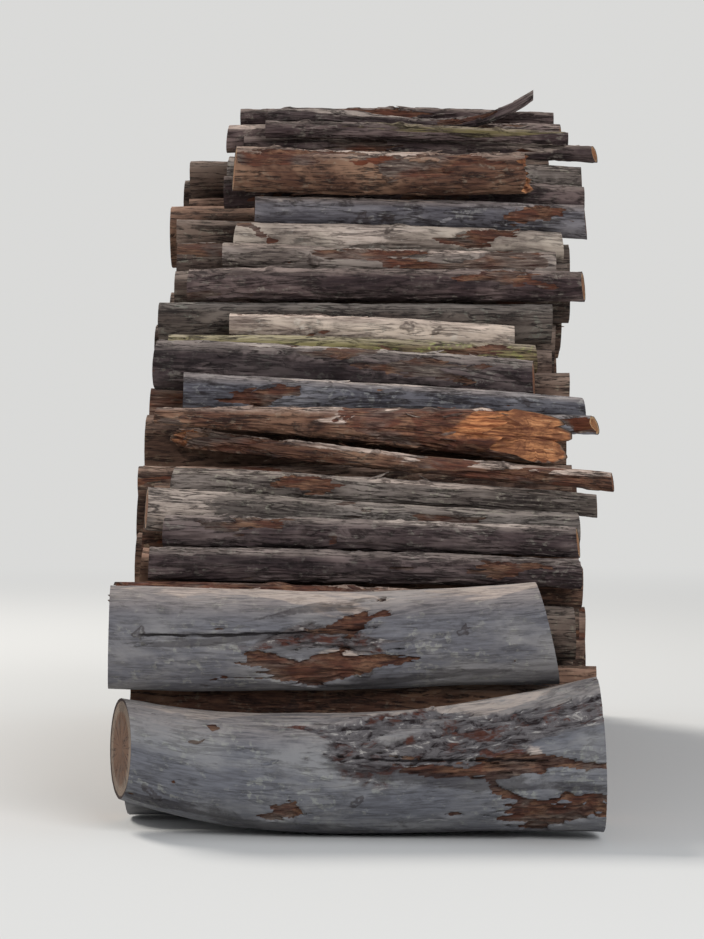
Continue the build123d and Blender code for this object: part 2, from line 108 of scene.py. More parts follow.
# Marks on the bark: its kind, its place along the log (-1 at the left end, 1 at the right end) and
# round it (degrees, 0 in front and 90 on top), how far it reaches along (metres) and round (degrees)
# and how many degrees its right part lies higher per metre
# Pale marks on the logs' tops are partly pale bark and partly a painted highlight along the tops; those lower
# down are pale bark
MARKS = {
    "big_scarred_log": (
        ("rough", 0.50, 32, 0.52, 30, -16),
        ("rough", 0.16, 62, 0.30, 18, 0),
        ("torn", 0.50, 6, 0.36, 9, -26),
        ("torn", 0.74, -38, 0.24, 22, -30),
        ("torn", -0.30, -40, 0.07, 11, 0),
        ("fissure", 0.36, 14, 0.46, 2.2, -26),
        ("dark", 0.30, 0, 0.56, 8, -30),
        ("dark", -0.10, -70, 0.80, 22, 0),
        ("pale", 0.72, 12, 0.05, 6, 0),
        ("pale", 0.30, 92, 0.70, 24, 0),
        ("pale", -0.55, 84, 0.34, 18, 0),
    ),
    "big_upper_log": (
        ("torn", 0.14, 30, 0.13, 20, 0),
        ("torn", -0.10, -30, 0.30, 20, 10),
        ("rough", 0.02, 4, 0.24, 16, 24),
        ("fissure", -0.50, 10, 0.42, 2.4, 14),
        ("dark", -0.50, 4, 0.42, 5, 14),
        ("dark", -0.02, 46, 0.22, 7, 60),
        ("dark", 0.28, -52, 0.40, 10, 12),
        ("pale", 0.06, -14, 0.11, 6, 0),
        ("pale", -0.20, 72, 0.50, 28, 0),
        ("pale", 0.70, 78, 0.30, 22, 0),
    ),
    "brown_thin_log": (("torn", -0.80, 18, 0.40, 75, 0), ("torn", 0.30, 60, 0.16, 40, 0)),
    "dark_log_low": (("torn", 0.66, 20, 0.14, 34, 0), ("dark", -0.2, 0, 0.6, 30, 0)),
    "dark_log_upper": (("torn", -0.55, 44, 0.18, 40, 0), ("pale", 0.35, 80, 0.5, 26, 0)),
    "grey_end_log": (("pale", -0.86, 40, 0.18, 90, 0), ("torn", 0.25, 8, 0.22, 30, 0)),
    "blunt_grey_log": (("pale", 0.45, 70, 0.4, 36, 0), ("torn", -0.35, 20, 0.12, 40, 0)),
    "diagonal_log": (
        ("pale", 0.15, 62, 0.85, 40, 0), ("torn", -0.84, 20, 0.26, 90, 0), ("torn", 0.5, -8, 0.2, 30, 0),
    ),
    "broken_end_log": (
        ("pale", 0.05, 26, 0.13, 32, 0), ("pale", 0.3, 78, 0.6, 26, 0),
        ("torn", 0.52, 4, 0.30, 60, 30), ("split", 0.86, 0, 0.22, 75, 0),
    ),
    "pink_end_log": (("split", 0.92, 36, 0.10, 90, 0), ("torn", -0.3, 50, 0.2, 36, 0)),
    "bluish_log": (("torn", -0.6, 0, 0.14, 34, 0), ("pale", 0.1, 82, 0.5, 24, 0)),
    "long_dark_log": (
        ("pale", 0.0, 84, 0.75, 22, 0), ("torn", 0.45, 14, 0.2, 26, 0), ("dark", -0.3, -6, 0.6, 34, 0),
    ),
    "slim_grey_log": (("torn", 0.2, 50, 0.2, 50, 0),),
    "mossy_log": (("moss", -0.35, 60, 0.75, 95, 0), ("torn", 0.7, 30, 0.12, 40, 0)),
    "bright_topped_log": (("pale", 0.0, 78, 0.75, 44, 0),),
    "wide_slope_log": (("dark", -0.2, 10, 0.7, 44, 0), ("torn", 0.62, 40, 0.2, 40, 0)),
    "narrow_slope_log": (("torn", -0.2, 48, 0.3, 40, 0), ("pale", 0.55, 76, 0.3, 34, 0)),
    "whitish_log": (("pale", -0.5, 62, 0.42, 62, 0), ("torn", 0.5, 30, 0.14, 40, 0)),
    "bluish_upper_log": (("pale", -0.2, 80, 0.5, 30, 0), ("torn", 0.74, 20, 0.14, 40, 0)),
    "dark_upper_log": (("torn", -0.5, 40, 0.2, 46, 0), ("dark", 0.3, 20, 0.6, 60, 0)),
    "knotty_upper_log": (("torn", 0.1, 30, 0.12, 40, 0), ("moss", -0.6, 80, 0.4, 50, 0)),
    "red_patched_log": (
        ("torn", -0.62, 46, 0.26, 40, 0), ("torn", 0.10, 22, 0.22, 34, 0), ("torn", 0.55, 56, 0.2, 34, 0),
        ("pale", -0.1, 84, 0.3, 26, 0), ("split", -0.05, 34, 0.10, 16, 20),
    ),
    "stub_end_log": (("torn", -0.4, 40, 0.2, 50, 0), ("pale", 0.7, 60, 0.25, 60, 0)),
    "crest_log_front": (("torn", 0.3, 50, 0.26, 50, 0), ("pale", -0.5, 80, 0.4, 40, 0)),
    "crest_log_slim": (("torn", -0.2, 40, 0.3, 60, 0),),
    "crest_log_middle": (("moss", 0.2, 70, 0.5, 70, 0),),
    "crest_log_bent": (("torn", 0.5, 60, 0.2, 60, 0), ("pale", -0.3, 80, 0.4, 50, 0)),
}
# Dark marks are painted shade on the logs' fronts and undersides and along the fissures
MARK_KINDS = ("torn", "rough", "split", "fissure", "pale", "dark", "moss", "knot")

# A mark fades from 1 to 0 over its own size, and is at 0.5 where it ends
MARK_FADE = 1.5

# Waves that bend a mark's outline: their size as a share of the mark's, and how many radians it spans
MARK_WAVES = ((0.34, 2.3), (0.22, 5.1), (0.12, 9.7))

# Knots on the bark of a log with a node of its own, and between what limits their places along the
# log, their angles in degrees and their sizes are
KNOTS = 3
KNOT_REACH = 0.034
KNOT_HEIGHT = 0.010
KNOT_LIMITS = ((-0.9, 0.9), (-50, 140), (0.6, 1.2))

# How deep a fissure is
FISSURE_DEPTH = 0.014

# How far a broken end's rim is torn back, as a share of the log's radius, in uneven steps round it
TORN_BACK = 1.3
TORN_STEPS = 27

# No flake of bark is nearer to an end than this
FLAKES_FROM_END = 0.09

# Fresh, splintered wood: the logs that broke instead of being sawn, and at which end
FRESH_ENDS = {
    "broken_end_log": "right",
    "brown_thin_log": "left",
    "diagonal_log": "left",
    "red_patched_log": "right",
}

# How far apart two logs are in the patterns of bark and wood, so that no two look the same
PATTERN_SHIFT = (3.7, 5.3, 9.1)

SEED = 11
chance = np.random.default_rng(SEED)


class MeasuredLog:
    """A log's axis, radius and ends, read from the triangles of its CAD solid."""

    def __init__(self, corners):
        normals = np.cross(corners[:, 1] - corners[:, 0], corners[:, 2] - corners[:, 0])
        twice_area = np.linalg.norm(normals, axis=1)
        facing = normals[:, 0] / np.maximum(twice_area, LEAST_AREA)
        x = corners[:, :, 0].mean(axis=1)
        whole = twice_area > END_FACE_LEAST
        left_end = whole & (facing < -END_FACING) & (x < x.min() + END_REACH)
        right_end = whole & (facing > END_FACING) & (x > x.max() - END_REACH)
        self.left_rim = corners[left_end].reshape(-1, 3)
        self.right_rim = corners[right_end].reshape(-1, 3)
        low = self.left_rim[:, 0].max() + CUT_IN
        high = self.right_rim[:, 0].min() - CUT_IN
        stations = np.linspace(low, high, SLICES)
        circles = np.array([self.circle_at(corners, station) for station in stations])
        self.fits = [np.polyfit(stations, circles[:, k], AXIS_DEGREE) for k in range(3)]
        self.left = self.left_rim[:, 0].mean()
        self.right = self.right_rim[:, 0].mean()
        self.corners = corners

    @staticmethod
    def circle_at(corners, x):
        """The circle through the log's side at x: its middle and radius."""
        points = []
        for a, b in ((0, 1), (1, 2), (2, 0)):
            start, end = corners[:, a], corners[:, b]
            crossing = (start[:, 0] - x) * (end[:, 0] - x) < 0
            start, end = start[crossing], end[crossing]
            share = (x - start[:, 0]) / (end[:, 0] - start[:, 0])
            points.append(start[:, 1:] + share[:, None] * (end[:, 1:] - start[:, 1:]))
        points = np.concatenate(points)
        keep = np.ones(len(points), bool)
        for _ in range(FIT_ROUNDS):
            used = points[keep]
            rows = np.column_stack([2 * used, np.ones(len(used))])
            solved = np.linalg.lstsq(rows, (used**2).sum(axis=1), rcond=None)[0]
            radius = math.sqrt(max(solved[2] + solved[0] ** 2 + solved[1] ** 2, LEAST_SQUARE))
            off = np.hypot(points[:, 0] - solved[0], points[:, 1] - solved[1]) - radius
            keep = np.abs(off) < max(FIT_SLACK, 2 * np.std(off[keep]))
        return solved[0], solved[1], radius

    def axis(self, x):
        return np.polyval(self.fits[0], x), np.polyval(self.fits[1], x)

    def radius(self, x):
        return np.polyval(self.fits[2], x)

    def radius_with_hollows(self, x, angles):
        """How far the bark is from the axis, met by rays from outside, so with every hollow."""
        faces = np.arange(len(self.corners) * 3).reshape(-1, 3).tolist()
        tree = BVHTree.FromPolygons(self.corners.reshape(-1, 3).tolist(), faces)
        y, z = self.axis(x)
        radius = self.radius(x)
        for i in range(x.shape[0]):
            for k, angle in enumerate(angles):
                out = Vector((0.0, -math.cos(angle + RAY_TURN), math.sin(angle + RAY_TURN)))
                start = Vector((x[i, k], y[i, k], z[i, k])) + out * (RAY_START * radius[i, k])
                distance = tree.ray_cast(start, -out, RAY_START * radius[i, k])[3]
                if distance is not None:
                    radius[i, k] = RAY_START * radius[i, k] - distance
        return radius

    def end_at(self, rim, angles):
        """The log's end measured round its rim: x at each angle."""
        y, z = self.axis(rim[:, 0])
        rim_angles = np.arctan2(rim[:, 2] - z, -(rim[:, 1] - y)) % (2 * math.pi)
        order = np.argsort(rim_angles)
        return np.interp(angles, rim_angles[order], rim[order, 0], period=2 * math.pi)


def node_triangles(node):
    """The corners of a CAD node's triangles, as an array of triangle, corner and coordinate."""
    mesh = frame["nodes"][node].data
    mesh.calc_loop_triangles()
    places = np.zeros(len(mesh.vertices) * 3)
    mesh.vertices.foreach_get("co", places)
    index = np.zeros(len(mesh.loop_triangles) * 3, np.int64)
    mesh.loop_triangles.foreach_get("vertices", index)
    return places.reshape(-1, 3)[index].reshape(-1, 3, 3)


def separate(corners):
    """The triangles of each separate solid in a node."""
    _, index = np.unique(np.round(corners.reshape(-1, 3) / WELD), axis=0, return_inverse=True)
    index = index.reshape(-1, 3)
    label = np.arange(index.max() + 1)
    while True:
        least = label[index].min(axis=1)
        before = label.copy()
        for corner in range(3):
            np.minimum.at(label, index[:, corner], least)
        if np.array_equal(before, label):
            break
    owner = label[index[:, 0]]
    return [corners[owner == one] for one in np.unique(owner)]


def mark_field(marks, kind, x, log, turn):
    """How strongly a kind of mark shows at each point of a log: 0.5 at its edge, 1 well inside it."""
    middle, half = (log.left + log.right) / 2, (log.right - log.left) / 2
    field = np.zeros(x.shape)
    for this_kind, along, angle, reach, spread, slant in marks:
        if this_kind != kind:
            continue
        from_middle = x - (middle + along * half)
        turned = np.degrees(turn) - angle - slant * from_middle
        turned = (turned + 180.0) % 360.0 - 180.0
        lengthwise, sideways = from_middle / reach, turned / spread
        phases = chance.uniform(0, 2 * math.pi, len(MARK_WAVES))
        for (size, waves), phase in zip(MARK_WAVES, phases):
            sideways = sideways + size * np.sin(waves * lengthwise + phase)
            lengthwise = lengthwise + size * np.sin(waves * sideways - phase)
        field = np.maximum(field, np.clip(MARK_FADE - np.hypot(lengthwise, sideways), 0.0, 1.0))
    return field


def knots_on(log, node):
    """The marks of a log's knots, a few at random places."""
    if node.startswith("stock"):
        return ()
    spread = math.degrees(KNOT_REACH / log.radius((log.left + log.right) / 2))
    places, angles, sizes = (chance.uniform(*limits, KNOTS) for limits in KNOT_LIMITS)
    return tuple(
        ("knot", along, angle, KNOT_REACH * size, spread * size, 0)
        for along, angle, size in zip(places, angles, sizes)
    )


def torn_back(turn, radius):
    """How far a broken end is torn back round its rim, in uneven steps."""
    places = np.sort(chance.uniform(0, 2 * math.pi, TORN_STEPS))
    depths = chance.uniform(0, 1, TORN_STEPS) ** 2
    return TORN_BACK * radius * np.interp(turn, places, depths, period=2 * math.pi)


def log_skin(log, grid, number, node):
    """The points, bark faces and end faces of one log's skin; each point has its attributes."""
    along, around = grid
    turn = np.arange(around) * 2 * math.pi / around
    zeros = np.zeros(around)
    left_x = log.end_at(log.left_rim, turn)
    right_x = log.end_at(log.right_rim, turn)
    if node.startswith("stock"):
        tilts, towards = chance.uniform(0.0, END_TILT, 2), chance.uniform(0.0, 2 * math.pi, 2)
        left_x = left_x + log.radius(log.left) * tilts[0] * (1 + np.cos(turn - towards[0]))
        right_x = right_x - log.radius(log.right) * tilts[1] * (1 + np.cos(turn - towards[1]))
    teeth = torn_back(turn, log.radius(log.right)) if node in FRESH_ENDS else zeros
    if FRESH_ENDS.get(node) == "left":
        left_x = left_x + teeth
    else:
        right_x = right_x - teeth
    share = np.linspace(0.0, 1.0, along + 1)[:, None]
    x = left_x + share * (right_x - left_x)
    y, z = log.axis(x)
    radius = log.radius(x)
    if node in MAIN_LOGS:
        radius = log.radius_with_hollows(np.clip(x, left_x + RAY_CUT_IN, right_x - RAY_CUT_IN), turn)
    ahead, up = -np.cos(turn), np.sin(turn)
    tone = chance.uniform()
    shift = np.array(PATTERN_SHIFT) * number
    marks_here = (*MARKS.get(node, ()), *knots_on(log, node))
    marks = {kind: mark_field(marks_here, kind, x, log, turn) for kind in MARK_KINDS}
    flaky = (np.minimum(x - left_x, right_x - x) > FLAKES_FROM_END) * 1.0
    rings = []

    def add_ring(row, size, places, out, end, fresh):
        """A ring of points, its size a share of the radius; its relief is that of its row's rim."""
        ring_x, ring_y, ring_z = places
        rim, spread = radius[row], size * radius[row]
        points = {
            "place": np.column_stack([ring_x, ring_y + spread * ahead, ring_z + spread * up]),
            "out": np.broadcast_to(out, (around, 3)),
            "inward": np.column_stack([zeros, -ahead, -up]) * size,
            "bark_place": np.column_stack([spread * ahead, spread * up, ring_x]) + shift,
            "relief_place": np.column_stack([rim * ahead, rim * up, x[row]]) + shift,
            "end_place": np.column_stack([spread * ahead, spread * up, zeros + size]),
            "end": zeros + end,
            "fresh": zeros + fresh,
            "flaky": flaky[row],
        }
        points.update({kind: marks[kind][row] for kind in MARK_KINDS})
        rings.append(points)

    radial = np.column_stack([zeros, ahead, up])
    for row in range(along + 1):
        add_ring(row, 1.0, (x[row], y[row], z[row]), radial, 0.0, 0.0)
    sides = []
    for row, facing, side in ((0, -1.0, "left"), (along, 1.0, "right")):
        middle_x = x[row].mean()
        middle_y, middle_z = log.axis(middle_x)
        fresh = float(FRESH_ENDS.get(node) == side)
        sizes = FRESH_RINGS if fresh else END_RINGS
        sides.append((row, len(rings), len(sizes)))
        for size in sizes:
            places = (
                middle_x + size * (x[row] - middle_x) + fresh * facing * (size - size**3) * teeth,
                middle_y + size * (y[row] - middle_y),
                middle_z + size * (z[row] - middle_z),
            )
            add_ring(row, size, places, (facing, 0, 0), 1.0, fresh)
    data = {key: np.concatenate([points[key] for points in rings]) for key in rings[0]}
    data["tone"] = np.full(len(data["end"]), tone)

    starts = np.arange(len(rings)) * around
    this = np.arange(around)
    following = (this + 1) % around
    bark_faces = []
    end_faces = []
    for a, b in zip(starts[:along], starts[1:]):
        bark_faces.append(np.column_stack([a + this, b + this, b + following, a + following]))
    for row, first, count in sides:
        outer = starts[row]
        for inner in starts[first : first + count]:
            quad = np.column_stack([outer + this, outer + following, inner + following, inner + this])
            end_faces.append(quad if row == 0 else quad[:, ::-1])
            outer = inner
    return data, np.concatenate(bark_faces), np.concatenate(end_faces)


def new_object(name, data):
    thing = bpy.data.objects.new(name, data)
    bpy.context.scene.collection.objects.link(thing)
    return thing


def skin_object(name, logs, grids, first_number):
    """One mesh with the skins of a node's logs, and the attributes that bark and wood follow."""
    skins = [log_skin(log, grid, first_number + k, name) for k, (log, grid) in enumerate(zip(logs, grids))]
    starts = np.cumsum([0] + [len(data["end"]) for data, _, _ in skins])
    data = {key: np.concatenate([skin[0][key] for skin in skins]) for key in skins[0][0]}
    bark_faces = np.concatenate([skin[1] + start for skin, start in zip(skins, starts)])
    end_faces = np.concatenate([skin[2] + start for skin, start in zip(skins, starts)])
    faces = np.concatenate([bark_faces, end_faces])
    mesh = bpy.data.meshes.new(name + "_bark")
    mesh.from_pydata(data["place"].tolist(), [], faces.tolist())
    for key in ("out", "inward", "bark_place", "relief_place", "end_place"):
        mesh.attributes.new(key, "FLOAT_VECTOR", "POINT").data.foreach_set("vector", data[key].ravel())
    for key in ("end", "tone", "fresh", "flaky", *MARK_KINDS):
        mesh.attributes.new(key, "FLOAT", "POINT").data.foreach_set("value", data[key])
    is_end = np.arange(len(faces)) >= len(bark_faces)
    mesh.attributes.new("is_end", "BOOLEAN", "FACE").data.foreach_set("value", is_end)
    return new_object(name + "_bark", mesh)


def add(tree, kind, settings=None, **inputs):
    """A node with its settings, and its inputs given by name or as i0, i1 and so on."""
    node = tree.nodes.new(kind)
    for key, value in (settings or {}).items():
        setattr(node, key, value)
    for key, value in inputs.items():
        number = key[1:]
        socket = node.inputs[int(number)] if key[0] == "i" and number.isdigit() else node.inputs[key]
        if isinstance(value, bpy.types.NodeSocket):
            tree.links.new(value, socket)
        else:
            socket.default_value = value
    return node


def maths(tree, operation, *values):
    node = add(tree, "ShaderNodeMath", {"operation": operation}, **{f"i{k}": v for k, v in enumerate(values)})
    return node.outputs[0]


def vectors(tree, operation, *values):
    inputs = {f"i{k}": v for k, v in enumerate(values)}
    if operation == "SCALE":
        inputs = {"i0": values[0], "i3": values[1]}
    node = add(tree, "ShaderNodeVectorMath", {"operation": operation}, **inputs)
    return node.outputs[1] if operation == "LENGTH" else node.outputs[0]


def noise(tree, place, scale, detail=3.0, rough=0.55, distort=0.0):
    inputs = {"Vector": place, "Scale": scale, "Detail": detail, "Roughness": rough, "Distortion": distort}
    return add(tree, "ShaderNodeTexNoise", **inputs).outputs[0]


def pattern(tree, place, lengthwise, *texture):
    """A noise on the bark with its length scaled, so that it runs along the log."""
    return noise(tree, vectors(tree, "MULTIPLY", place, (1.0, 1.0, lengthwise)), *texture)


def step(tree, value, low, high, to_low=0.0, to_high=1.0):
    """A smooth step of the value from to_low at low to to_high at high."""
    settings = {"interpolation_type": "SMOOTHSTEP"}
    node = add(tree, "ShaderNodeMapRange", settings, i0=value, i1=low, i2=high, i3=to_low, i4=to_high)
    return node.outputs[0]


def rest_of(tree, share):
    return maths(tree, "SUBTRACT", 1.0, share)


def off_middle(tree, value):
    """How far a noise is from its middle, to either side."""
    return maths(tree, "ABSOLUTE", maths(tree, "SUBTRACT", value, 0.5))


def swayed(tree, value, by, amount):
    """A value that a noise raises in some places and lowers in others."""
    return maths(tree, "MULTIPLY_ADD", maths(tree, "SUBTRACT", by, 0.5), amount, value)


def weighed(tree, first, *others):
    """The sum of some values, each given with its weight."""
    total = maths(tree, "MULTIPLY", *first)
    for value, weight in others:
        total = maths(tree, "MULTIPLY_ADD", value, weight, total)
    return total


def squared(tree, value, factor):
    return maths(tree, "MULTIPLY", maths(tree, "MULTIPLY", value, value), factor)


def geometry_attribute(tree, name, kind="FLOAT"):
    return add(tree, "GeometryNodeInputNamedAttribute", {"data_type": kind}, Name=name).outputs[0]


def stored(tree, geometry, name, value, kind):
    """The geometry with a value kept at each point under a name."""
    settings = {"data_type": kind, "domain": "POINT"}
    inputs = {"Geometry": geometry, "Name": name, "Value": value}
    return add(tree, "GeometryNodeStoreNamedAttribute", settings, **inputs).outputs[0]


def joined(tree, *parts):
    node = add(tree, "GeometryNodeJoinGeometry")
    for part in parts:
        tree.links.new(part, node.inputs[0])
    return node.outputs[0]


def random_vector(tree, limits, seed):
    settings = {"data_type": "FLOAT_VECTOR"}
    return add(tree, "FunctionNodeRandomValue", settings, Seed=seed, i0=limits[0], i1=limits[1]).outputs[0]


RELIEF_INPUTS = (
    ("Lump Depth", "NodeSocketFloat", 0.014),
    ("Furrow Depth", "NodeSocketFloat", 0.006),
    ("Furrow Width", "NodeSocketFloat", 0.035),
    ("Bare Share", "NodeSocketFloat", 0.2),
    ("Torn Depth", "NodeSocketFloat", 0.010),
    ("Bark Thickness", "NodeSocketFloat", 0.006),
    ("End Roughness", "NodeSocketFloat", 0.004),
    ("Flakes", "NodeSocketFloat", 30.0),
    ("Seed", "NodeSocketInt", 1),
    ("Bark", "NodeSocketMaterial", None),
    ("Sawn End", "NodeSocketMaterial", None),
)

# Patterns of the relief: how their length is scaled, then scale, detail, roughness and distortion
LUMPS = (0.55, 3.4, 2.0)
FURROW_STRETCH = 0.14
FURROW_TEXTURE = (3.0, 0.6, 0.5)
BARE_PATCHES = (0.4, 3.1, 4.0, 0.6, 0.8)
TEARS = (0.35, 13.0, 5.0, 0.62, 0.3)
FIBRES = (0.12, 42.0, 4.0, 0.6)
SLABS = (0.3, 11.0, 2.0, 0.5)
END_SURFACE = (21.0, 3.0)
SPLINTERS = (60.0, 3.0, 0.6)

# Between what values of its pattern or mark each form comes up
PLATE_EDGE = (0.0, 0.12)
BARE_EDGE = (-0.01, 0.03)
TORN_EDGE = (0.44, 0.56)
ROUGH_EDGE = (0.42, 0.6)
SLAB_EDGE = (0.0, 0.9)
KNOT_EDGE = (0.2, 1.0)
FISSURE_EDGE = (0.4, 1.0)

# How the bare share follows a log's tone, and how the patches' threshold follows the bare share
SHARE_BY_TONE = (1.8, 0.1)
THRESHOLD_BY_SHARE = (-0.4, 0.7)

# How much tears bend the edges of torn and rough places, layers of slabs, and a rough place's depth
TORN_SWAY = 2.6
ROUGH_SWAY = 1.8
SLAB_LAYERS = 6.0
ROUGH_DEPTH = 1.5

# Splinters of a broken end, and what level of their pattern lies at the log's end
SPLINTER_DEPTH = 0.08
SPLINTER_GRAIN = (0.12, 1.0, 0.06)
SPLINTER_LEVEL = 0.35

# A flake of bark, its bends and the limits of its turn (radians) and size
FLAKE_LENGTH = 0.10
FLAKE_WIDTH = 0.020
FLAKE_THICKNESS = 0.002
FLAKE_CURL = 2.2
FLAKE_CUP = -9.0
FLAKE_TAPER = -0.88
FLAKE_SKEW = 0.25 * FLAKE_WIDTH
FLAKE_WELD = 1e-4
FLAKE_TURNS = ((0.0, -0.05, -0.25), (0.0, 0.05, 0.25))
FLAKE_SIZES = ((0.35, 0.5, 0.8), (1.5, 1.4, 1.2))


def flake_shape(tree):
    """A curled chip of loose bark, closed on all sides."""
    size = {"Size X": FLAKE_LENGTH, "Size Y": FLAKE_WIDTH, "Vertices X": 5, "Vertices Y": 3}
    sheet = add(tree, "GeometryNodeMeshGrid", **size).outputs["Mesh"]
    place = add(tree, "GeometryNodeInputPosition").outputs[0]
    x, y, _ = add(tree, "ShaderNodeSeparateXYZ", Vector=place).outputs
    lift = maths(tree, "ADD", squared(tree, x, FLAKE_CURL), squared(tree, y, FLAKE_CUP))
    along = maths(tree, "DIVIDE", x, FLAKE_LENGTH / 2)
    narrower = maths(tree, "MULTIPLY", y, squared(tree, along, FLAKE_TAPER))
    skewed = maths(tree, "MULTIPLY_ADD", along, FLAKE_SKEW, narrower)
    offset = add(tree, "ShaderNodeCombineXYZ", Y=skewed, Z=lift).outputs[0]
    sheet = add(tree, "GeometryNodeSetPosition", Geometry=sheet, Offset=offset).outputs[0]
    thick = add(tree, "GeometryNodeExtrudeMesh", Mesh=sheet, Individual=False)
    thick.inputs["Offset Scale"].default_value = FLAKE_THICKNESS
    under = add(tree, "GeometryNodeFlipFaces", Mesh=sheet).outputs[0]
    both = joined(tree, thick.outputs[0], under)
    return add(tree, "GeometryNodeMergeByDistance", Geometry=both, Distance=FLAKE_WELD).outputs[0]


def bark_relief(tree, given):
    """How deep the bark lies below the log's skin, and where it is bare."""
    place = geometry_attribute(tree, "relief_place", "FLOAT_VECTOR")
    lumps, patches, tears, fibres, slabs = (
        pattern(tree, place, *texture) for texture in (LUMPS, BARE_PATCHES, TEARS, FIBRES, SLABS)
    )
    torn, split, rough, knot, fissure, tone = (
        geometry_attribute(tree, name) for name in ("torn", "split", "rough", "knot", "fissure", "tone")
    )
    per_metre = maths(tree, "DIVIDE", 1.0, given["Furrow Width"])
    furrows = pattern(tree, place, FURROW_STRETCH, per_metre, *FURROW_TEXTURE)
    plates = step(tree, off_middle(tree, furrows), *PLATE_EDGE)
    by_tone = maths(tree, "MULTIPLY_ADD", tone, *SHARE_BY_TONE)
    own_share = maths(tree, "MULTIPLY", given["Bare Share"], by_tone)
    threshold = maths(tree, "MULTIPLY_ADD", own_share, *THRESHOLD_BY_SHARE)
    bare = step(tree, maths(tree, "SUBTRACT", patches, threshold), *BARE_EDGE)
    torn = step(tree, swayed(tree, maths(tree, "MAXIMUM", torn, split), tears, TORN_SWAY), *TORN_EDGE)
    bare = maths(tree, "MAXIMUM", bare, torn)
    rough = step(tree, swayed(tree, rough, tears, ROUGH_SWAY), *ROUGH_EDGE)
    knot = step(tree, knot, *KNOT_EDGE)
    fissure = step(tree, fissure, *FISSURE_EDGE)
    slabs = step(tree, maths(tree, "FRACT", maths(tree, "MULTIPLY", slabs, SLAB_LAYERS)), *SLAB_EDGE)

    groove = maths(tree, "MULTIPLY", rest_of(tree, plates), given["Furrow Depth"])
    groove = maths(tree, "MULTIPLY", groove, rest_of(tree, bare))
    depth = maths(tree, "ADD", maths(tree, "MULTIPLY", lumps, given["Lump Depth"]), groove)
    depth = maths(tree, "ADD", depth, maths(tree, "MULTIPLY", bare, given["Bark Thickness"]))
    torn_depth = maths(tree, "MULTIPLY", maths(tree, "ADD", fibres, slabs), given["Torn Depth"])
    torn_share = maths(tree, "MULTIPLY_ADD", rough, ROUGH_DEPTH, torn)
    depth = maths(tree, "MULTIPLY_ADD", torn_share, torn_depth, depth)
    depth = maths(tree, "MULTIPLY_ADD", knot, -KNOT_HEIGHT, depth)
    return maths(tree, "MULTIPLY_ADD", fissure, FISSURE_DEPTH, depth), bare


def end_relief(tree, given):
    """How deep the wood of an end lies below it: a little where it is sawn, more where it broke."""
    place = geometry_attribute(tree, "bark_place", "FLOAT_VECTOR")
    splintered = noise(tree, vectors(tree, "MULTIPLY", place, SPLINTER_GRAIN), *SPLINTERS)
    splintered = maths(tree, "SUBTRACT", splintered, SPLINTER_LEVEL)
    splintered = maths(tree, "MULTIPLY", splintered, SPLINTER_DEPTH)
    depth = maths(tree, "MULTIPLY", noise(tree, place, *END_SURFACE), given["End Roughness"])
    depth = maths(tree, "MULTIPLY_ADD", geometry_attribute(tree, "fresh"), splintered, depth)
    return maths(tree, "MULTIPLY", depth, geometry_attribute(tree, "end"))


def scattered_flakes(tree, given, surface, is_end):
    """Loose flakes on the bark of a surface, lying about along the log."""
    on_bark = add(tree, "FunctionNodeBooleanMath", {"operation": "NOT"}, i0=is_end).outputs[0]
    density = maths(tree, "MULTIPLY", given["Flakes"], geometry_attribute(tree, "flaky"))
    scatter = add(
        tree, "GeometryNodeDistributePointsOnFaces",
        Mesh=surface, Selection=on_bark, Density=density, Seed=given["Seed"],
    )
    facing = add(
        tree, "FunctionNodeAxesToRotation", {"primary_axis": "Z", "secondary_axis": "X"},
        i0=scatter.outputs["Normal"], i1=(1.0, 0.0, 0.0),
    ).outputs[0]
    turn = random_vector(tree, FLAKE_TURNS, given["Seed"])
    turn = add(tree, "FunctionNodeEulerToRotation", Euler=turn).outputs[0]
    turned = add(tree, "FunctionNodeRotateRotation", {"rotation_space": "LOCAL"}, i0=facing, i1=turn)
    flakes = add(
        tree, "GeometryNodeInstanceOnPoints", Points=scatter.outputs["Points"], Instance=flake_shape(tree),
        Rotation=turned.outputs[0], Scale=random_vector(tree, FLAKE_SIZES, given["Seed"]),
    ).outputs[0]
    flakes = add(tree, "GeometryNodeRealizeInstances", Geometry=flakes).outputs[0]
    position = add(tree, "GeometryNodeInputPosition").outputs[0]
    x, y, z = add(tree, "ShaderNodeSeparateXYZ", Vector=position).outputs
    bark_place = add(tree, "ShaderNodeCombineXYZ", X=y, Y=z, Z=x).outputs[0]
    return stored(tree, flakes, "bark_place", bark_place, "FLOAT_VECTOR")


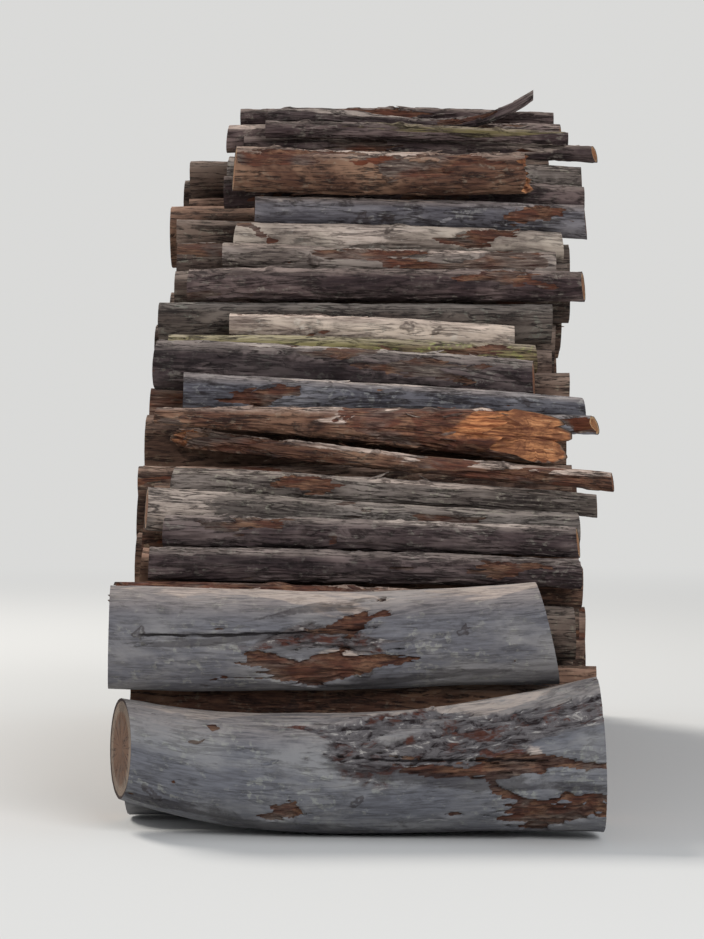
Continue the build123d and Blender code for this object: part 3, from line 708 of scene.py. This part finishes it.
def relief_tree():
    """The tree that turns a skin into bark: lumps, furrows, bare patches, rough ends and flakes."""
    tree = bpy.data.node_groups.new("bark_relief", "GeometryNodeTree")
    tree.interface.new_socket("Geometry", in_out="INPUT", socket_type="NodeSocketGeometry")
    for name, kind, value in RELIEF_INPUTS:
        item = tree.interface.new_socket(name, in_out="INPUT", socket_type=kind)
        if value is not None:
            item.default_value = value
    tree.interface.new_socket("Geometry", in_out="OUTPUT", socket_type="NodeSocketGeometry")
    given = tree.nodes.new("NodeGroupInput").outputs

    depth, bare = bark_relief(tree, given)
    inward = vectors(tree, "SCALE", geometry_attribute(tree, "inward", "FLOAT_VECTOR"), depth)
    outward = maths(tree, "MULTIPLY", end_relief(tree, given), -1.0)
    back = vectors(tree, "SCALE", geometry_attribute(tree, "out", "FLOAT_VECTOR"), outward)
    offset = vectors(tree, "ADD", inward, back)
    surface = add(tree, "GeometryNodeSetPosition", Geometry=given["Geometry"], Offset=offset).outputs[0]
    surface = stored(tree, surface, "bare", bare, "FLOAT")

    is_end = geometry_attribute(tree, "is_end", "BOOLEAN")
    whole = joined(tree, surface, scattered_flakes(tree, given, surface, is_end))
    real = add(tree, "GeometryNodeRealizeInstances", Geometry=whole).outputs[0]
    barked = add(tree, "GeometryNodeSetMaterial", Geometry=real, Material=given["Bark"]).outputs[0]
    ends = {"Selection": is_end, "Material": given["Sawn End"]}
    done = add(tree, "GeometryNodeSetMaterial", Geometry=barked, **ends).outputs[0]
    tree.links.new(done, tree.nodes.new("NodeGroupOutput").inputs[0])
    return tree


def linear(red, green, blue):
    """A colour as it looks, each part from 0 to 255, as the shader takes it."""
    parts = np.array([red, green, blue]) / 255.0
    parts = np.where(parts <= 0.04045, parts / 12.92, ((parts + 0.055) / 1.055) ** 2.4)
    return (*parts.tolist(), 1.0)


def mixed(tree, share, first, second, how="MIX"):
    """A mix of two colours, each a socket or three parts from 0 to 255."""
    first, second = (linear(*one) if isinstance(one, tuple) else one for one in (first, second))
    node = add(tree, "ShaderNodeMix", {"data_type": "RGBA", "blend_type": how}, i0=share, i6=first, i7=second)
    return node.outputs[2]


def painted(tree, colour, over, field, low, high, share=None):
    """A colour with another over it, which comes up where a field goes from low to high."""
    mask = step(tree, field, low, high)
    if share is not None:
        mask = maths(tree, "MULTIPLY", mask, share)
    return mixed(tree, mask, colour, over)


def material_attribute(tree, name, output="Fac"):
    return add(tree, "ShaderNodeAttribute", {"attribute_name": name}).outputs[output]


def new_material(name):
    material = bpy.data.materials.new(name)
    material.use_nodes = True
    tree = material.node_tree
    tree.nodes.clear()
    shader = tree.nodes.new("ShaderNodeBsdfPrincipled")
    output = tree.nodes.new("ShaderNodeOutputMaterial")
    tree.links.new(shader.outputs[0], output.inputs[0])
    return material, tree, shader


WOOD_SPECULAR = 0.25
BUMP_DISTANCE = 0.006


def finish_wood(tree, shader, colour, roughness, height, strength):
    """Gives a shader its colour, its dull surface and its bump."""
    tree.links.new(colour, shader.inputs["Base Color"])
    shader.inputs["Roughness"].default_value = roughness
    shader.inputs["Specular IOR Level"].default_value = WOOD_SPECULAR
    bump = add(tree, "ShaderNodeBump", Strength=strength, Distance=BUMP_DISTANCE, Height=height)
    tree.links.new(bump.outputs[0], shader.inputs["Normal"])


# Patterns of the bark's colours, given as those of the relief
BARK_PATTERNS = {
    "fibre": (0.1, 95.0, 8.0, 0.68),
    "furrow": (0.13, 26.0, 7.0, 0.62, 0.5),
    "patches": (0.5, 4.6, 6.0, 0.6, 0.4),
    "blotches": (0.7, 11.0, 7.0, 0.68, 0.6),
    "specks": (1.0, 34.0, 5.0, 0.6),
    "strands": (0.06, 80.0, 6.0, 0.65),
    "flecks": (0.3, 38.0, 6.0, 0.7, 0.6),
}

# Colours that all bark has, and a painted highlight and a painted shade; where there are several, each lies
# over the one before it
MOSS = (124, 116, 74)
# Pale bark, and the painted highlight on the logs' tops
BLEACH_AND_HIGHLIGHT = (214, 198, 186)
CRACK = (36, 27, 27)
INNER_BARK = ((104, 66, 52), (138, 104, 82), (120, 108, 100))
CLEFT = (58, 38, 34)
SLIVER = (206, 186, 166)
SPLIT_WOOD = ((116, 66, 42), (204, 142, 96), (108, 62, 44))
SCALY = ((40, 32, 34), (116, 112, 114), (190, 186, 182), (104, 62, 50))
KNOT_RING = (50, 40, 38)
# Painted shade, laid where the dark marks are
PAINTED_SHADE = (38, 30, 32)
OPENED = (26, 20, 22)

# How much painted highlight lies on a log's top, a log's tint from warm to cool, and its darkest and lightest
# shade
TOP_HIGHLIGHT = 0.35
TINTS = ((255, 222, 202), (208, 216, 220))
TINT_STEPS = 5.7
DARKEST, LIGHTEST = 0.74, 1.2


def bark_material(name, deep, plate, crest, lichen, lichen_share, cracked, tinted):
    """Bark: dark cracks between plates, patches, lichen, red-brown inner bark where it is bare, a painted
    highlight on the tops and painted shade.
    """
    material, tree, shader = new_material(name)
    place = material_attribute(tree, "bark_place", "Vector")
    tone, bare, pale, dark, moss, rough, split, fissure, knot = (
        material_attribute(tree, kind)
        for kind in ("tone", "bare", "pale", "dark", "moss", "rough", "split", "fissure", "knot")
    )
    fibre, furrow, patches, blotches, specks, strands, flecks = (
        pattern(tree, place, *texture) for texture in BARK_PATTERNS.values()
    )
    out = add(tree, "ShaderNodeSeparateXYZ", Vector=material_attribute(tree, "out", "Vector")).outputs[2]
    edges = maths(tree, "MULTIPLY", maths(tree, "SUBTRACT", blotches, 0.5), 1.4)

    def edged(mark, amount):
        """A mark whose edge the blotches bend."""
        return maths(tree, "MULTIPLY_ADD", edges, amount, mark)

    colour = painted(tree, deep, plate, fibre, 0.3, 0.68)
    colour = painted(tree, colour, crest, patches, 0.4, 0.64)
    lichen_mask = maths(tree, "MULTIPLY", step(tree, specks, 0.5, 0.6), step(tree, blotches, 0.46, 0.6))
    colour = mixed(tree, maths(tree, "MULTIPLY", lichen_mask, lichen_share), colour, lichen)
    colour = painted(tree, colour, MOSS, edged(moss, 1.0), 0.35, 0.75, 0.7)
    # Painted highlight: the tops that face upwards are lightened, as if lit from above; the pale marks add to
    # it, partly pale bark and partly a painted highlight along the tops
    lit = maths(tree, "MULTIPLY", step(tree, out, 0.35, 0.95), TOP_HIGHLIGHT)
    bleach_and_highlight = maths(tree, "MULTIPLY", step(tree, edged(pale, 1.0), 0.3, 0.8), 0.85)
    bleach_and_highlight = maths(tree, "MAXIMUM", lit, bleach_and_highlight)
    bleach_and_highlight = maths(tree, "MULTIPLY", bleach_and_highlight, step(tree, fibre, 0.26, 0.6))
    colour = mixed(tree, bleach_and_highlight, colour, BLEACH_AND_HIGHLIGHT)
    crack = step(tree, off_middle(tree, furrow), 0.004, 0.05, 1.0, 0.0)
    crack = maths(tree, "MULTIPLY", crack, step(tree, blotches, 0.36, 0.56))
    crack = maths(tree, "MULTIPLY", crack, cracked)
    colour = mixed(tree, crack, colour, CRACK)

    raw = painted(tree, INNER_BARK[0], INNER_BARK[1], blotches, 0.42, 0.62)
    raw = painted(tree, raw, INNER_BARK[2], patches, 0.46, 0.6)
    raw = painted(tree, CLEFT, raw, fibre, 0.35, 0.62)
    sliver = maths(tree, "MULTIPLY", step(tree, fibre, 0.6, 0.7), step(tree, patches, 0.5, 0.62))
    raw = mixed(tree, sliver, raw, SLIVER)
    fresh = painted(tree, SPLIT_WOOD[0], SPLIT_WOOD[1], strands, 0.36, 0.64)
    fresh = painted(tree, fresh, SPLIT_WOOD[2], patches, 0.46, 0.6)
    raw = painted(tree, raw, fresh, edged(split, 0.8), 0.35, 0.8)

    scaly = painted(tree, SCALY[0], SCALY[1], flecks, 0.36, 0.54)
    scaly = painted(tree, scaly, SCALY[2], flecks, 0.57, 0.64)
    reddened = maths(tree, "MULTIPLY", step(tree, blotches, 0.5, 0.62), step(tree, flecks, 0.56, 0.46))
    scaly = mixed(tree, maths(tree, "MULTIPLY", reddened, 0.8), scaly, SCALY[3])
    rough_mask = step(tree, edged(rough, 0.6), 0.36, 0.6)
    colour = mixed(tree, rough_mask, colour, scaly)

    knot = swayed(tree, knot, specks, 1.6)
    knot_ring = maths(tree, "MULTIPLY", step(tree, knot, 0.3, 0.6), step(tree, knot, 1.2, 0.8))
    colour = mixed(tree, maths(tree, "MULTIPLY", knot_ring, 0.6), colour, KNOT_RING)
    naked = step(tree, swayed(tree, bare, specks, 1.2), 0.42, 0.58)
    colour = mixed(tree, naked, colour, raw)
    # Painted shade: the dark marks darken the bark on the logs' fronts and undersides and along the fissures
    colour = painted(tree, colour, PAINTED_SHADE, edged(dark, 1.5), 0.3, 0.8, 0.55)
    colour = painted(tree, colour, OPENED, edged(fissure, 0.6), 0.5, 0.8, 0.9)
    tint = maths(tree, "FRACT", maths(tree, "MULTIPLY", tone, TINT_STEPS))
    colour = mixed(tree, tinted, colour, mixed(tree, tint, *TINTS), "MULTIPLY")
    shade = add(tree, "ShaderNodeMapRange", i0=tone, i3=DARKEST, i4=LIGHTEST).outputs[0]
    grey = add(tree, "ShaderNodeCombineColor", i0=shade, i1=shade, i2=shade).outputs[0]
    colour = mixed(tree, 1.0, colour, grey, "MULTIPLY")

    rough_flecks = maths(tree, "MULTIPLY", flecks, rough_mask)
    height = weighed(tree, (fibre, 0.4), (crack, -1.0), (specks, 0.2), (naked, -0.4), (rough_flecks, 1.6))
    finish_wood(tree, shader, colour, 0.9, height, 0.8)
    return material


# Patterns of an end: scale, detail and roughness
END_WARP = (9.0, 3.0)
END_CHECKS = (4.6, 4.0, 0.6)
END_GRIME = (13.0, 6.0, 0.65)
END_STRANDS = (75.0, 6.0, 0.65)
END_STAINS = (9.0, 4.0, 0.6)
STRAND_GRAIN = (0.14, 1.0, 0.06)

# Growth rings: how far apart they are and how far off round, in metres
RING_SPACING = 0.011
RING_WARP = 0.05

# Checks run from the pith, elsewhere on each log and a little askew
CHECK_SHIFT = 40.0
CHECK_SKEW = 0.6

# An end's colours: its wood by the log's tone, and what lies over it
WOOD_STEPS = 7.3
WOODS = (
    (0.0, (176, 128, 88)), (1.0, (128, 112, 100)),
    (0.3, (196, 160, 118)), (0.55, (150, 106, 74)), (0.8, (164, 146, 126)),
)
HEART = (205, 176, 160)
LATE_WOOD = (92, 62, 44)
GRIME = (98, 88, 80)
CHECK = (30, 20, 16)
BROKEN_WOOD = ((96, 54, 36), (196, 136, 92), (226, 188, 148), (98, 58, 42))
RIM = (52, 38, 34)


def end_material():
    """An end: growth rings round the pith, checks, greyed wood and a rim of bark, or fresh splinters."""
    material, tree, shader = new_material("sawn_end")
    tone, fresh = material_attribute(tree, "tone"), material_attribute(tree, "fresh")
    place = material_attribute(tree, "bark_place", "Vector")
    end_place = material_attribute(tree, "end_place", "Vector")
    across, up, share = add(tree, "ShaderNodeSeparateXYZ", Vector=end_place).outputs
    flat = add(tree, "ShaderNodeCombineXYZ", X=across, Y=up, Z=tone).outputs[0]
    spoke = add(tree, "ShaderNodeCombineXYZ", X=across, Y=up).outputs[0]
    from_pith = vectors(tree, "LENGTH", spoke)

    warp = noise(tree, flat, *END_WARP)
    ring_at = swayed(tree, from_pith, warp, RING_WARP)
    wave = maths(tree, "SINE", maths(tree, "MULTIPLY", ring_at, 2 * math.pi / RING_SPACING))
    rings = step(tree, wave, -0.2, 1.0)
    skew = maths(tree, "MULTIPLY_ADD", tone, CHECK_SHIFT, maths(tree, "MULTIPLY", from_pith, CHECK_SKEW))
    skewed = add(tree, "ShaderNodeCombineXYZ", Z=skew).outputs[0]
    spin = vectors(tree, "ADD", vectors(tree, "NORMALIZE", spoke), skewed)
    checks = step(tree, off_middle(tree, noise(tree, spin, *END_CHECKS)), 0.002, 0.016, 1.0, 0.0)
    reach = maths(tree, "MULTIPLY", step(tree, share, 0.04, 0.3), step(tree, share, 0.97, 0.7))
    checks = maths(tree, "MULTIPLY", checks, reach)
    grime = noise(tree, flat, *END_GRIME)

    picked = maths(tree, "FRACT", maths(tree, "MULTIPLY", tone, WOOD_STEPS))
    pick = add(tree, "ShaderNodeValToRGB", Fac=picked)
    stops = pick.color_ramp.elements
    for k, (position, wood) in enumerate(WOODS):
        stop = stops[k] if k < 2 else stops.new(position)
        stop.color = linear(*wood)
    wood = pick.outputs[0]
    colour = painted(tree, wood, mixed(tree, 1.0, wood, HEART, "MULTIPLY"), share, 0.8, 0.68)
    colour = mixed(tree, maths(tree, "MULTIPLY", rings, 0.35), colour, LATE_WOOD)
    colour = painted(tree, colour, GRIME, grime, 0.45, 0.7, 0.6)
    colour = mixed(tree, checks, colour, CHECK)
    strands = noise(tree, vectors(tree, "MULTIPLY", place, STRAND_GRAIN), *END_STRANDS)
    broken = painted(tree, BROKEN_WOOD[0], BROKEN_WOOD[1], strands, 0.36, 0.64)
    broken = painted(tree, broken, BROKEN_WOOD[2], strands, 0.62, 0.7)
    broken = painted(tree, broken, BROKEN_WOOD[3], noise(tree, place, *END_STAINS), 0.42, 0.6, 0.7)
    colour = mixed(tree, fresh, colour, broken)
    rim = step(tree, maths(tree, "MULTIPLY_ADD", warp, 0.03, share), 0.945, 0.965)
    colour = mixed(tree, maths(tree, "MULTIPLY", rim, rest_of(tree, fresh)), colour, RIM)
    height = weighed(tree, (rings, 0.12), (checks, -1.0), (grime, 0.3))
    finish_wood(tree, shader, colour, 0.86, height, 0.7)
    return material


# Bark by the record's slots: the colours of its cracked depth, its plates, its worn crests and its
# lichen, the lichen's share, how dark its cracks are, and how strong the logs' own tints are
BARK_LOOKS = {
    "smooth_bark": ((96, 96, 102), (124, 126, 134), (148, 148, 150), (174, 176, 168), 0.5, 0.3, 0.25),
    "brown_bark": ((62, 42, 38), (108, 78, 62), (140, 110, 90), (150, 140, 124), 0.4, 0.85, 0.25),
    "grey_bark": ((70, 62, 60), (114, 106, 100), (144, 136, 130), (170, 168, 152), 0.6, 0.85, 0.25),
    "bluish_bark": ((64, 62, 68), (102, 102, 110), (136, 136, 142), (162, 164, 162), 0.5, 0.75, 0.25),
    "mossy_bark": ((72, 60, 48), (128, 112, 84), (150, 140, 96), (146, 150, 84), 0.9, 0.85, 0.25),
    "pale_bark": ((92, 80, 74), (152, 140, 130), (198, 186, 172), (190, 186, 176), 0.6, 0.6, 0.25),
    "dark_bark": ((44, 34, 38), (80, 66, 66), (114, 100, 98), (146, 142, 132), 0.5, 0.85, 0.25),
    "stock_bark": ((56, 46, 43), (106, 89, 80), (140, 124, 113), (160, 158, 142), 0.5, 0.85, 1.0),
}
BARKS = {slot: bark_material(slot, *look) for slot, look in BARK_LOOKS.items()}
SAWN_END = end_material()

# How each bark is cut up: lump depth, furrow depth, furrow width, share without bark, flakes
RELIEFS = {
    "smooth_bark": (0.022, 0.002, 0.09, 0.03, 3.0),
    "brown_bark": (0.018, 0.006, 0.034, 0.30, 26.0),
    "grey_bark": (0.020, 0.005, 0.040, 0.16, 20.0),
    "bluish_bark": (0.018, 0.004, 0.044, 0.12, 14.0),
    "mossy_bark": (0.018, 0.005, 0.040, 0.14, 20.0),
    "pale_bark": (0.018, 0.004, 0.046, 0.18, 16.0),
    "dark_bark": (0.020, 0.007, 0.036, 0.16, 26.0),
    "stock_bark": (0.020, 0.006, 0.036, 0.2, 5.0),
}
RELIEF_NAMES = ("Lump Depth", "Furrow Depth", "Furrow Width", "Bare Share", "Flakes")
SLOT_OF = {row["node"]: row["material_slot"] for row in frame["record"]["subparts"]}

# Edges sharper than this, in degrees, are shaded as edges
SHARP_EDGE = 48


def set_inputs(modifier, tree, values):
    """Sets a modifier's inputs by the socket's identifier."""
    for item in tree.interface.items_tree:
        if item.in_out == "INPUT" and item.name in values:
            modifier[item.identifier] = values[item.name]


def bake(piece):
    """Applies the piece's modifiers, which leaves a plain mesh."""
    view = bpy.context.evaluated_depsgraph_get()
    whole = piece.evaluated_get(view)
    mesh = bpy.data.meshes.new_from_object(whole, preserve_all_data_layers=True, depsgraph=view)
    piece.modifiers.clear()
    piece.data = mesh


def keep_in_box(mesh):
    """No point of the mesh leaves the CAD model's box."""
    places = np.zeros(len(mesh.vertices) * 3)
    mesh.vertices.foreach_get("co", places)
    places = np.clip(places.reshape(-1, 3), np.array(cad_box[0]), np.array(cad_box[1]))
    mesh.vertices.foreach_set("co", places.ravel())
    mesh.update()


def is_seen(log, others):
    """Whether a log is seen from above or from a side, past all the others."""
    middle = (log.left + log.right) / 2
    y, z = log.axis(middle)
    radius = log.radius(middle)
    circles = np.array([(*one.axis(middle), one.radius(middle)) for one in others if one is not log])
    for angle in np.linspace(0.0, math.pi, SIGHT_LINES):
        toward = np.array([-math.cos(angle), math.sin(angle)])
        across = np.array([-toward[1], toward[0]])
        offset = circles[:, :2] - (y, z)
        ahead, aside = offset @ toward, offset @ across
        for share in SIGHT_OFFSETS:
            if not np.any((ahead > 0) & (np.abs(aside - share * radius) < circles[:, 2])):
                return True
    return False


def dress():
    """Every node gets its bark and ends."""
    tree = relief_tree()
    nodes = sorted(frame["nodes"])
    measured = {}
    for node in nodes:
        corners = node_triangles(node)
        parts = separate(corners) if node.startswith("stock") else [corners]
        measured[node] = [MeasuredLog(part) for part in parts]
    everything = [log for logs in measured.values() for log in logs]
    number = 0
    for node in nodes:
        logs = measured[node]
        if node in MAIN_LOGS:
            grids = [MAIN_GRID] * len(logs)
        elif node.startswith("stock"):
            grids = [OUTER_GRID if is_seen(log, everything) else INNER_GRID for log in logs]
        else:
            grids = [FRONT_GRID] * len(logs)
        slot = SLOT_OF[node]
        piece = skin_object(node, logs, grids, number)
        number += len(logs)
        modifier = piece.modifiers.new("bark", "NODES")
        modifier.node_group = tree
        values = dict(zip(RELIEF_NAMES, RELIEFS[slot]))
        values.update({"Seed": number, "Bark": BARKS[slot], "Sawn End": SAWN_END})
        set_inputs(modifier, tree, values)
        bake(piece)
        keep_in_box(piece.data)
        piece.data.shade_smooth()
        piece.data.set_sharp_from_angle(angle=math.radians(SHARP_EDGE))
        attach(piece, "root")
        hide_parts(node)


dress()

# The studio: a pale floor that runs into an equally pale background
PALE = (0.70, 0.70, 0.69, 1.0)
FLOOR_HALF = 150.0
FLOOR_CORNERS = ((-1, -1), (1, -1), (1, 1), (-1, 1))
FLOOR_FADE = (7.0, 26.0)
FLOOR_MIDDLE = (0.0, 1.0, 0.0)
FLOOR_ROUGHNESS = 0.95
SKY_COLOUR = (0.9, 0.93, 0.97, 1.0)
SKY_STRENGTH = 0.45

# A soft key behind on the left and a softer fill in front: place from the stack's middle, size in
# metres, power in watts and colour
LAMPS = {
    "key": ((-14.0, 12.0, 19.0), 9.0, 5200.0, (1.0, 0.96, 0.9)),
    "fill": ((9.0, -22.0, 9.0), 13.0, 3400.0, (0.97, 0.98, 1.0)),
}


def seen_directly(tree):
    """1 for what the camera sees, straight, in a gloss or through glass."""
    path = tree.nodes.new("ShaderNodeLightPath")
    seen = maths(tree, "MAXIMUM", path.outputs["Is Camera Ray"], path.outputs["Is Glossy Ray"])
    return maths(tree, "MAXIMUM", seen, path.outputs["Is Transmission Ray"])


floor_mesh = bpy.data.meshes.new("studio_floor")
floor_mesh.from_pydata([(x * FLOOR_HALF, y * FLOOR_HALF, 0) for x, y in FLOOR_CORNERS], [], [(0, 1, 2, 3)])
floor = new_object("studio_floor", floor_mesh)
floor_paint, floor_tree, floor_shader = new_material("studio_floor")
floor_shader.inputs["Base Color"].default_value = PALE
floor_shader.inputs["Roughness"].default_value = FLOOR_ROUGHNESS
floor_shader.inputs["Specular IOR Level"].default_value = 0.0
floor_place = add(floor_tree, "ShaderNodeTexCoord").outputs["Object"]
floor_distance = vectors(floor_tree, "LENGTH", vectors(floor_tree, "SUBTRACT", floor_place, FLOOR_MIDDLE))
fade = step(floor_tree, floor_distance, *FLOOR_FADE)
fade = maths(floor_tree, "MULTIPLY", fade, seen_directly(floor_tree))
far_floor = add(floor_tree, "ShaderNodeEmission", Color=PALE, Strength=1.0).outputs[0]
floor_mix = add(floor_tree, "ShaderNodeMixShader", i0=fade, i1=floor_shader.outputs[0], i2=far_floor)
floor_tree.links.new(floor_mix.outputs[0], floor_tree.nodes["Material Output"].inputs[0])
floor_mesh.materials.append(floor_paint)



def point_at(thing, place, target):
    """Puts a lamp or the camera at a place and turns it to its target."""
    thing.location = place
    thing.rotation_mode = "QUATERNION"
    thing.rotation_quaternion = (target - place).to_track_quat("-Z", "Y")


middle = (cad_box[0] + cad_box[1]) / 2
for name, (offset, size, power, colour) in LAMPS.items():
    lamp = bpy.data.lights.new(name, "AREA")
    lamp.shape = "DISK"
    lamp.size = size
    lamp.energy = power
    lamp.color = colour
    point_at(new_object(name, lamp), middle + Vector(offset), middle)

world = bpy.data.worlds.new("studio")
world.use_nodes = True
sky_tree = world.node_tree
sky_light = sky_tree.nodes["Background"]
sky_light.inputs["Color"].default_value = SKY_COLOUR
sky_light.inputs["Strength"].default_value = SKY_STRENGTH
backdrop = add(sky_tree, "ShaderNodeBackground", Color=PALE, Strength=1.0).outputs[0]
seen = seen_directly(sky_tree)
sky_mix = add(sky_tree, "ShaderNodeMixShader", i0=seen, i1=sky_light.outputs[0], i2=backdrop)
sky_tree.links.new(sky_mix.outputs[0], sky_tree.nodes["World Output"].inputs[0])
bpy.context.scene.world = world
bpy.context.scene.view_settings.view_transform = "Standard"

# The camera looks at the stack's front from the height and side that the photograph shows it from,
# with a longer lens; its offsets are from the left front corner of the lowest log
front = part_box("big_scarred_log")
CAMERA_OFFSET_X = 1.253
CAMERA_BACK = 11.57
CAMERA_HEIGHT = 1.55
LENS = 112.0
SENSOR_WIDTH = 36.0
AIM_X = 1.03
AIM_HEIGHT = 1.5
camera = new_object("camera", bpy.data.cameras.new("camera"))
camera.data.lens = LENS
camera.data.sensor_width = SENSOR_WIDTH
eye = Vector((front[0].x + CAMERA_OFFSET_X, front[0].y - CAMERA_BACK, CAMERA_HEIGHT))
aim = Vector((front[0].x + AIM_X, front[0].y, AIM_HEIGHT))
point_at(camera, eye, aim)
bpy.context.scene.camera = camera
